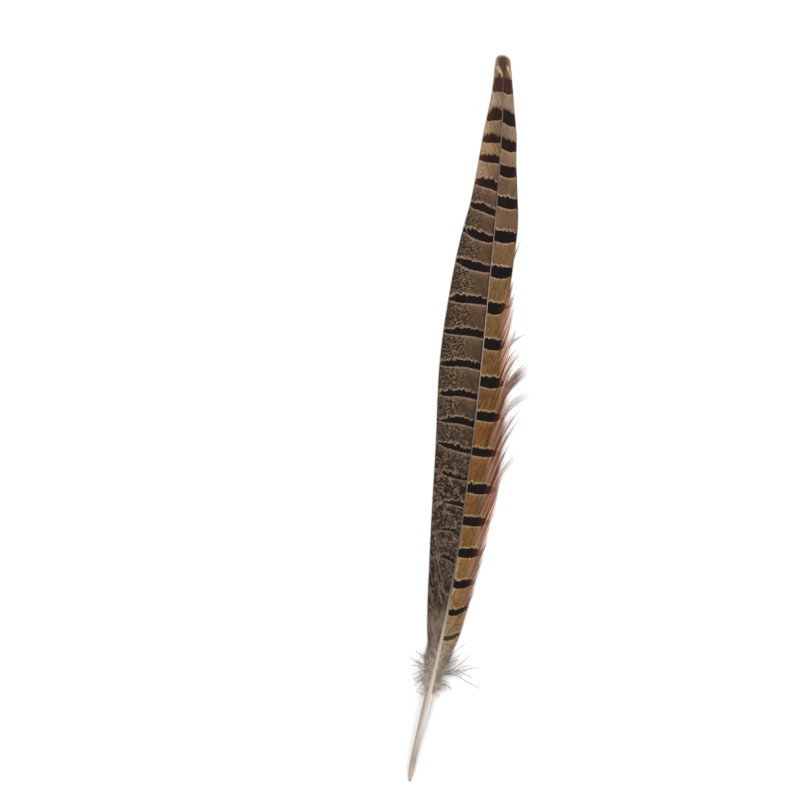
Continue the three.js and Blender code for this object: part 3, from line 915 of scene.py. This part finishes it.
fringe = {
    "width": (0.15, 0.27),       # mm, a loose barb end
    "from": 71.0,                # station at the vane's edge where the loose ends begin
    "to": 192.0,
    "lockBarbs": (2, 7),         # barbs in a lock: from the first number to one less than the second
    "aheadShare": (0.5, 1.3),    # a lock's own share of how far the tips usually lie ahead
    "outShare": (0.35, 1.5),     # and outwards
    "lift": (0.0, 0.5),          # mm, how far a lock's tips rise
    "closing": 0.25,             # how far apart its tips stay, as a share of how its barbs start
    "tipSpread": (0.9, 0.28),    # mm between its tips, along the feather and out from it
    "bow": 0.6,                  # how far a loose end keeps its first direction, a share of its length
    "straightBow": 0.45,         # the same for the locks that stand out
    "straightLift": (0.3, 1.2),
    "straightSpread": 0.15,      # mm, how far their tips differ from an even row
    "straightWidth": 0.19,       # mm, their barbs
    "thickFrom": 5,              # a lock with this many barbs has thick ones
    "thickWidth": 0.36,
    "straightTone": (-0.7, 0.1),
    "partingTone": -0.9,         # a single dark barb
}
# how far past the vane's edge the loose ends run: along the feather, and outwards
fringeAhead = smoothCurve(
    (60, 1.5), (85, 3.0), (110, 4.5), (135, 6.0), (150, 7.0), (170, 8.0), (192, 4.0))
fringeOut = smoothCurve(
    (60, 0.3), (85, 1.3), (105, 1.4), (120, 2.2), (140, 3.2), (150, 3.6), (165, 3.2), (180, 2.4),
    (192, 0.8))
# Locks that stand out: where they leave the vane's edge, how many barbs, and their tips as
# (station, distance from the shaft), first and last.
straightLocks = [
    (204.0, 3, (212.2, 10.8), (210.0, 10.3)), (167.0, 2, (175.2, 16.8), (174.4, 15.4)),
    (157.0, 2, (168.2, 14.6), (167.2, 14.2)), (150.0, 6, (164.0, 17.2), (159.4, 18.2)),
    (141.0, 4, (154.1, 18.4), (152.2, 22.0)), (133.0, 3, (146.8, 16.9), (145.9, 16.6)),
    (129.0, 3, (143.6, 18.7), (141.0, 15.2)), (117.5, 4, (130.4, 16.9), (128.9, 19.6)),
    (123.5, 3, (134.0, 14.8), (133.0, 14.2)), (101.0, 2, (110.4, 12.8), (109.6, 12.2)),
    (82.0, 2, (91.6, 14.1), (90.4, 13.0)),
]
# single barbs that lie as dark lines over the others: station of the root
partings = (54.0, 58.5, 63.0, 74.0, 86.0, 96.5, 101.0, 112.0, 128.8, 152.0, 162.0, 171.0)


def looseEnd(tip, bow):
    # the loose end of a barb, from the end of its hooked part in one bend to its tip
    def freeLine(line):
        start = line[-1]
        way = line[-1] - line[-8]
        way /= np.linalg.norm(way)
        return bend(start, start + way * math.dist(start, tip) * bow, np.array(tip), 16)
    return freeLine


def makeOuterVane():
    roots, angles = barbRoots(outerAngle, vane["outerWander"])
    ends = [barbLine(root, outerReach, angle)[-1, 0] for root, angle in zip(roots, angles)]
    strands = []
    left = 0  # barbs still to come in the present lock
    for root, angle, end in zip(roots, angles, ends):
        freeLine, lift, tone = None, 0.0, None
        width = rng.uniform(*fringe["width"])
        if fringe["from"] < end < fringe["to"]:
            if left == 0:
                left = rng.integers(*fringe["lockBarbs"])
                lastEnd = end + left * vane["rootStep"]
                lockAhead = fringeAhead(end) * rng.uniform(*fringe["aheadShare"])
                lockOut = fringeOut(end) * rng.uniform(*fringe["outShare"])
                lockLift = rng.uniform(*fringe["lift"])
            left -= 1
            ahead = lastEnd + lockAhead - (lastEnd - end) * fringe["closing"]
            ahead += rng.normal(0, fringe["tipSpread"][0])
            out = outerReach(end) + lockOut + rng.normal(0, fringe["tipSpread"][1])
            freeLine, lift = looseEnd((ahead, out), fringe["bow"]), lockLift
        for station, count, firstTip, lastTip in straightLocks:
            place = (end - station) / vane["rootStep"] / count + 0.5
            if 0 <= place < 1:
                tip = np.array(lastTip) * (1 - place) + np.array(firstTip) * place
                tip += rng.normal(0, fringe["straightSpread"], 2)
                freeLine = looseEnd(tuple(tip), fringe["straightBow"])
                lift = rng.uniform(*fringe["straightLift"])
                thick = count >= fringe["thickFrom"]
                width = fringe["thickWidth"] if thick else fringe["straightWidth"]
                tone = rng.uniform(*fringe["straightTone"])
        if min(abs(root - parting) for parting in partings) < vane["rootStep"] / 2:
            tone = fringe["partingTone"]
        strands.append(barbStrand(root, 1, outerReach, outerBars, angle, freeLine, tone, width, lift))
    return makeVane("outer_vane", outerBarbs(), strands)


# Down at the foot of the vanes: soft barbs with long fine barbules that don't hook together.
down = {
    "rootFrom": 33.5,
    "rootTo": 50.0,
    "rootStep": 0.3,
    "width": 0.14,            # mm, a down barb at its root
    "pointStep": 0.6,         # mm between its points
    "waviness": 0.035,        # share of its length
    "barbuleStep": 0.32,      # mm between barbules
    "barbuleLength": (0.7, 1.9),
    "barbuleWidth": 0.075,
    "barbuleTurn": 0.4,       # a barbule bends towards its barb's tip by this share of its length
    "droopingShare": 0.22,    # this share of the barbs hangs aside or back
    "droopAngle": (60, 115),  # degrees from the shaft
    "droopLength": 0.75,
    "leanAngle": (16, 46),    # degrees, the other barbs
    "tipHeight": (0.4, 2.6),  # mm over the floor
    "strayWidth": 0.22,
    "strayHeight": (0.3, 1.4),
    "tuftHeight": 1.8,
    "nearColour": "#CFBCAA",
    "farColour": "#8E7E70",
    "darkColour": "#3E3733",
    "roughness": 0.7,
}
# how far the mass of the down stands out from the shaft at each root
downLength = smoothCurve((33, 3.0), (37, 7.5), (40, 9.5), (44, 7.0), (50, 4.5))
# long stray down barbs: station of the root, and of the tip with its distance from the shaft
outerStrays = [
    (39.0, 38.8, 18.3), (39.3, 45.2, 17.0), (39.6, 43.0, 14.6), (39.9, 46.3, 13.2), (40.2, 50.6, 12.0),
    (39.4, 44.4, 12.0), (38.8, 42.2, 10.6), (41.0, 50.4, 8.6), (43.0, 54.6, 9.4),
]
innerStrays = [
    (40.5, 43.6, 9.0), (42.0, 47.0, 10.2), (41.5, 36.6, 6.4), (40.0, 35.0, 5.0), (43.5, 50.0, 9.0),
    (43.0, 40.6, 8.4), (43.5, 38.6, 7.0), (41.5, 45.6, 8.2),
]
strayTuft = (43.4, 6.0)  # the outer strays lie together as far as here


def downMaterial():
    # Soft grey down: the finest keratin threads, matt, paler where they lie thick by the shaft.
    material = newMaterial("soft downy keratin")
    held = addNode(material, "Attribute", attribute_name="thread")
    split = addNode(material, "SeparateXYZ", {0: held.outputs["Vector"]})
    outward = addNode(material, "MapRange", {0: split.outputs[0], 1: 2.0, 2: 7.5})
    toned = addLayer(material, linear(down["nearColour"]), down["farColour"], outward)
    dark = addNode(material, "MapRange", {0: split.outputs[1], 1: 0.3, 2: 1.0, 4: 0.8})
    toned = addLayer(material, toned, down["darkColour"], dark)
    place = addNode(material, "TexCoord")
    clumpMm = 1.6
    clump = addNode(material, "TexNoise", {"Vector": place.outputs["Object"],
                                           "Scale": 1 / (clumpMm * mm), "Detail": 2.0})
    light = addNode(material, "MapRange", {0: clump, 1: 0.3, 2: 0.7, 3: 0.75, 4: 1.2})
    clumped = addNode(material, "VectorMath", {0: toned, 1: light}, operation="MULTIPLY")
    shader = addNode(material, "BsdfPrincipled", {
        "Base Color": clumped, "Roughness": down["roughness"], "Specular IOR Level": 0.15,
        "Sheen Weight": 0.05, "Sheen Roughness": 0.5})
    addNode(material, "OutputMaterial", {"Surface": shader})
    return material


def thread(centre, width, tone, tipShare=0.3):
    # one fibre, and for its material its distance from the shaft and how dark it is
    count = len(centre)
    taper = np.linspace(1, tipShare, count)
    distance = abs(centre[:, 0] - shaftMiddle(centre[:, 1] - quillEndY))
    return {
        "centre": centre, "across": widthWays(centre), "width": width * taper,
        "height": width * 0.8 * taper, "tilt": 0.0,
        "values": {"thread": np.stack([distance, np.full(count, tone), np.zeros(count)], axis=1)},
    }


def downBarb(side, root, tip, height, barbuleShare, tone, width, tuft=None):
    # a soft barb with its barbules on both sides, from the shaft to its tip
    start = np.array([shaftMiddle(root) + side * shaftHalfWidth(root) * 0.45, root + quillEndY,
                      shaftTop(root) - 0.35])
    end = np.array([shaftMiddle(tip[0]) + side * tip[1], tip[0] + quillEndY, height])
    length = np.linalg.norm(end - start)
    forwards = 0.9 if tip[0] > root else 0.2
    turn = start + np.array([side * 0.45, forwards, 0.0]) * length * rng.uniform(0.3, 0.5)
    turn[2] = start[2] + rng.uniform(-0.4, 0.3)
    if tuft is not None:
        # turns so that the curve's middle is in the tuft
        through = np.array([shaftMiddle(tuft[0]) + side * tuft[1], tuft[0] + quillEndY,
                            down["tuftHeight"]])
        turn = 2 * (through + rng.normal(0, 0.2, 3)) - (start + end) / 2
    line = bend(start, turn, end, 30)
    wave = rng.normal(0, down["waviness"]) * length
    line[:, 1] += wave * np.sin(np.linspace(0, 1, len(line)) * math.pi * rng.uniform(1.5, 3))
    line, run = evenly(line, down["pointStep"])
    threads = [thread(line, width, tone, 0.45)]
    directions = np.gradient(line, axis=0)
    directions /= np.linalg.norm(directions, axis=1, keepdims=True)
    for at in np.arange(0.5, run[-1] - 0.2, down["barbuleStep"] / barbuleShare):
        base = np.array([np.interp(at, run, line[:, k]) for k in range(3)])
        ahead = np.array([np.interp(at, run, directions[:, k]) for k in range(3)])
        aside = np.array([-ahead[1], ahead[0], 0.0])
        for hand in (-1, 1):
            reach = rng.uniform(*down["barbuleLength"]) * (0.4 + 0.6 * barbuleShare)
            reach *= 1 - 0.5 * at / run[-1]
            way = ahead * rng.uniform(0.5, 0.9) + aside * hand * rng.uniform(0.5, 0.9)
            way[2] += rng.uniform(-0.35, 0.35)
            curl = np.array([0, 0, rng.uniform(-0.3, 0.3)]) + ahead * down["barbuleTurn"]
            s = np.linspace(0, 1, 4)[:, None]
            threads.append(thread(base + (way * s + curl * s**2) * reach, down["barbuleWidth"], tone))
    return threads


def makeDown(name, side, strays, fullness):
    threads = []
    for root in np.arange(down["rootFrom"], down["rootTo"], down["rootStep"]):
        length = downLength(root) * rng.uniform(0.55, 1.1) * fullness
        drooping = rng.random() < down["droopingShare"]
        angle = math.radians(rng.uniform(*down["droopAngle" if drooping else "leanAngle"]))
        length *= down["droopLength"] if drooping else 1
        tip = (root + length * math.cos(angle), length * math.sin(angle) + shaftHalfWidth(root))
        tone = rng.uniform(0, 0.9) ** 1.5
        threads += downBarb(side, root, tip, rng.uniform(*down["tipHeight"]), rng.uniform(0.5, 1.0),
                            tone, down["width"])
    for root, station, distance in strays:
        tuft = strayTuft if side > 0 and distance > 10 else None
        threads += downBarb(side, root, (station, distance), rng.uniform(*down["strayHeight"]), 0.3,
                            rng.uniform(0.6, 1.0), down["strayWidth"], tuft)
    piece = strandMesh(name + "_threads", threads, math.ceil(math.sqrt(len(threads))))
    piece.data.materials.append(downMaterial())
    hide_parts(name)


quill = {
    "sides": 28,             # points round a ring
    "step": 1.2,             # mm between rings
    "grooveFrom": 46.0,      # the rachis is grooved below from here on
    "grooveOver": 8,         # mm over which the groove and the square back come in
    "grooveDepth": 0.22,     # share of the height
    "grooveWidth": 0.45,     # share of the half width
    "squareness": 0.3,       # 0 is an oval, more is squarer
    # the worn quill end: its width as a share of the full one, at mm from the end
    "endShape": ((0, 0.55), (1, 0.75), (2, 0.95), (3.5, 1.15), (6, 1.12), (12, 1.0)),
    "lineMm": (0.238, 16.7, 0.238),  # the fine lines along it: length second
    "tones": [(0.0, "#A4978A"), (0.015, "#BDA793"), (0.027, "#A08F7B"), (0.085, "#CFC0B6"),
              (0.15, "#C6B6A8"), (0.20, "#AC9889"), (0.26, "#64503F"), (0.33, "#30271F"),
              (0.45, "#3E3027"), (0.62, "#B29A82"), (0.80, "#6E5E50"), (1.0, "#5C4632")],
    "wallShade": "#8A807A",  # painted shade darkening the tube's wall on its left side
    "paintedShadeSide": "#86807F",   # painted shade: the bare calamus darker on its left side
    "paintedLightSide": "#F2EAE0",  # and painted light on its right side
    # painted shade on the rachis's left side
    "rachisShade": "#3A2E26",
    "tipStain": "#4A3026",   # brown keratin by the last bar and the cap
    "shade": "#9A8C80",
    "roughness": 0.4,
}


def quillMaterial():
    # Horn-like keratin, grown as a tube: satin, a little see-through, with fine lines along it.
    material = newMaterial("satin quill keratin")
    place = addNode(material, "TexCoord")
    split = addNode(material, "SeparateXYZ", {0: place.outputs["Object"]})
    shifted = addNode(material, "Math", {0: split.outputs["Y"], 1: quillEndY * mm}, operation="SUBTRACT")
    along = addNode(material, "Math", {0: shifted, 1: featherLength * mm}, operation="DIVIDE")
    tone = addNode(material, "ValToRGB", {0: along}, stops=quill["tones"])
    perMetre = [1 / (size * mm) for size in quill["lineMm"]]
    lineScale = addNode(material, "VectorMath", {0: place.outputs["Object"], 1: perMetre},
                        operation="MULTIPLY")
    lines = addNode(material, "TexNoise", {"Vector": lineScale, "Scale": 1.0, "Detail": 3.0})
    shading = addNode(material, "MapRange", {0: lines, 1: 0.35, 2: 0.7, 4: 0.5})
    colour = addLayer(material, tone, quill["shade"], shading)
    held = addNode(material, "Attribute", attribute_name="side")
    # painted shade on the tube's left wall
    wall = addNode(material, "MapRange", {0: held.outputs["Fac"], 1: -0.3, 2: -0.9, 4: 0.7})
    colour = addLayer(material, colour, quill["wallShade"], wall)
    calamus = addNode(material, "MapRange", {0: along, 1: 0.045, 2: 0.08})
    belowVanes = addNode(material, "MapRange", {0: along, 1: 0.13, 2: 0.21, 3: 1.0, 4: 0.0})
    # painted shade on the calamus's left side
    paintedShadeSide = addNode(material, "MapRange", {0: held.outputs["Fac"], 1: 0.15, 2: -0.75, 4: 0.75})
    colour = addLayer(material, colour, quill["paintedShadeSide"], paintedShadeSide, calamus, belowVanes)
    # painted light on the calamus's right side
    paintedLightSide = addNode(material, "MapRange", {0: held.outputs["Fac"], 1: 0.3, 2: 0.8, 4: 0.6})
    colour = addLayer(material, colour, quill["paintedLightSide"], paintedLightSide, calamus, belowVanes)
    # painted shade on the rachis's left side, from above the foot, weaker near the tip
    rachis = addNode(material, "MapRange", {0: along, 1: 0.25, 2: 0.31})
    nearTip = addNode(material, "MapRange", {0: along, 1: 0.84, 2: 0.93, 3: 1.0, 4: 0.2})
    leftSide = addNode(material, "MapRange", {0: held.outputs["Fac"], 1: 0.2, 2: -0.4, 4: 0.8})
    colour = addLayer(material, colour, quill["rachisShade"], leftSide, rachis, nearTip)
    stained = addNode(material, "MapRange", {0: along, 1: 0.943, 2: 0.956, 4: 0.85})
    colour = addLayer(material, colour, quill["tipStain"], stained)
    bump = addNode(material, "Bump", {"Height": lines, "Strength": 0.15, "Distance": 0.05 * mm})
    shader = addNode(material, "BsdfPrincipled", {
        "Base Color": colour, "Roughness": quill["roughness"], "IOR": 1.54, "Normal": bump,
        "Specular IOR Level": 0.35, "Subsurface Weight": 0.15,
        "Subsurface Radius": (0.8 * mm, 0.6 * mm, 0.4 * mm), "Subsurface Scale": 1.0})
    addNode(material, "OutputMaterial", {"Surface": shader})
    return material


def makeShaft():
    length = shaftRows[-1, 0]
    sides = quill["sides"]
    stations = np.append(np.arange(0.0, length, quill["step"]), length)
    angles = (np.arange(sides) + 0.5) * 2 * math.pi / sides
    endShape = smoothCurve(*quill["endShape"])
    # an oval tube at the quill's end, and squarer and grooved below where it carries the vanes
    rings, across = [], []
    for station in stations:
        halfWidth = shaftHalfWidth(station) * endShape(station)
        halfHeight = (shaftTop(station) - shaftLow(station)) / 2
        middleZ = (shaftTop(station) + shaftLow(station)) / 2
        grooved = np.clip((station - quill["grooveFrom"]) / quill["grooveOver"], 0, 1)
        square = 1 - quill["squareness"] * grooved
        x = np.sign(np.cos(angles)) * abs(np.cos(angles)) ** square * halfWidth
        z = np.sign(np.sin(angles)) * abs(np.sin(angles)) ** square * halfHeight
        groove = np.exp(-(x / (halfWidth * quill["grooveWidth"])) ** 2) * (z < 0)
        z += groove * grooved * quill["grooveDepth"] * 2 * halfHeight
        y = np.full(sides, station + quillEndY)
        rings.append(np.stack([shaftMiddle(station) + x, y, np.maximum(middleZ + z, 0)], axis=1))
        across.append(x / halfWidth)
    points = np.concatenate(rings) * mm
    faces = []
    for r in range(len(rings) - 1):
        for k in range(sides):
            one, other = r * sides + k, r * sides + (k + 1) % sides
            faces.append((one, one + sides, other + sides, other))
    last = (len(rings) - 1) * sides
    faces.append(tuple(range(sides)))
    faces.append(tuple(last + k for k in reversed(range(sides))))
    mesh = bpy.data.meshes.new("shaft_horn")
    mesh.from_pydata(points.tolist(), [], faces)
    mesh.shade_smooth()
    layer = mesh.attributes.new("side", "FLOAT", "POINT")
    layer.data.foreach_set("value", np.concatenate(across).astype(np.float32))
    mesh.materials.append(quillMaterial())
    piece = newObject("shaft_horn", mesh)
    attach(piece, "root")
    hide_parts("shaft")


makeShaft()
makeInnerVane()
makeOuterVane()
makeDown("inner_down", -1, innerStrays, 0.95)
makeDown("outer_down", 1, outerStrays, 1.1)
print("shaft, vanes and down made")
